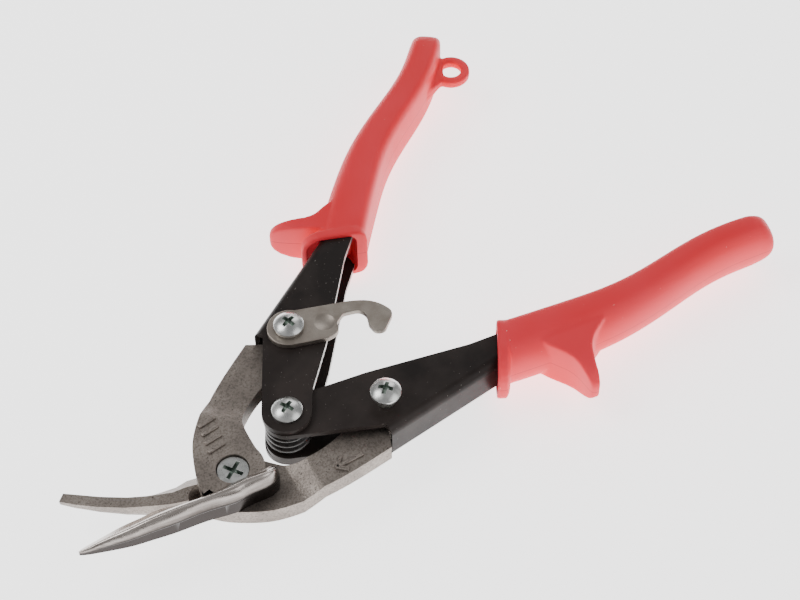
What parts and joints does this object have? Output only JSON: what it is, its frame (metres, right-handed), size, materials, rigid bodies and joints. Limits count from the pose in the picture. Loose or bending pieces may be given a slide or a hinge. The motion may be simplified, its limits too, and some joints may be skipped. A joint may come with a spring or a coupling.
{
  "type": "aviation snips",
  "caption": "Offset compound-action sheet metal snips: curved jaws on a lever linkage, sprung channel handles with moulded grips, a hook latch and a hanging loop.",
  "frame": {"origin": "on the blade pivot's axis, at the shear plane where the two blades meet", "axes": "+X from the blade pivot towards the handles, along the line that halves the open jaw; +Y towards the left handle; +Z along the pivots, towards the screw heads. The rest pose is open"},
  "size_m": [0.2258, 0.1474, 0.0277],
  "materials": {
    "grip_red": "satin soft plastic",
    "channel_black": "black oxide, satin",
    "forged_steel": "blasted forging with ground edges",
    "zinc_screw": "bright zinc plate",
    "zinc_nut": "zinc plate",
    "stamped_steel": "stamped, tumbled",
    "spring_steel": "oiled black wire",
    "bush_steel": "turned"
  },
  "bodies": {
    "right_handle": {"right_channel": "channel_black", "right_grip": "grip_red", "right_tang_spacers": "bush_steel", "catch_screw": "zinc_screw", "catch_collar": "zinc_screw", "catch_nut": "zinc_nut", "spring_bush": "bush_steel", "return_spring": "spring_steel"},
    "left_handle": {"left_channel": "channel_black", "left_grip": "grip_red", "hang_loop": "grip_red", "left_tang_spacers": "bush_steel", "latch_screw": "zinc_screw", "latch_washer": "zinc_screw", "latch_nut": "zinc_nut", "handle_pivot_screw": "zinc_screw", "handle_pivot_nut": "zinc_nut"},
    "front_blade": {"front_blade": "forged_steel", "blade_pivot_screw": "zinc_screw", "blade_pivot_washer": "zinc_nut", "blade_pivot_nut": "zinc_nut"},
    "rear_blade": {"rear_blade": "forged_steel"},
    "latch": {"latch": "stamped_steel"}
  },
  "joints": [
    {"name": "handle_pivot", "type": "hinge", "parent": "right_handle", "child": "left_handle", "pos_m": [0.02381, 0, 0], "axis": [0, 0, -1], "range_deg": [0, 40.44], "stiffness_Nm_per_rad": 0.35, "springref_deg": -28.65, "deforming": ["return_spring"]},
    {"name": "front_blade_pivot", "type": "hinge", "parent": "left_handle", "child": "front_blade", "pos_m": [0.04612, 0.0193, 0], "axis": [0, 0, 1], "range_deg": [0, 9.57]},
    {"name": "rear_blade_pivot", "type": "hinge", "parent": "right_handle", "child": "rear_blade", "pos_m": [0.04612, -0.0193, 0], "axis": [0, 0, -1], "range_deg": [0, 9.57]},
    {"name": "latch_pivot", "type": "hinge", "parent": "left_handle", "child": "latch", "pos_m": [0.04612, 0.0193, 0], "axis": [0, 0, -1], "range_deg": [-45, 29]}
  ],
  "couplings": [
    {"joint": "front_blade_pivot", "follows": "handle_pivot", "ratio": 0.23538},
    {"joint": "rear_blade_pivot", "follows": "handle_pivot", "ratio": 0.23538}
  ]
}
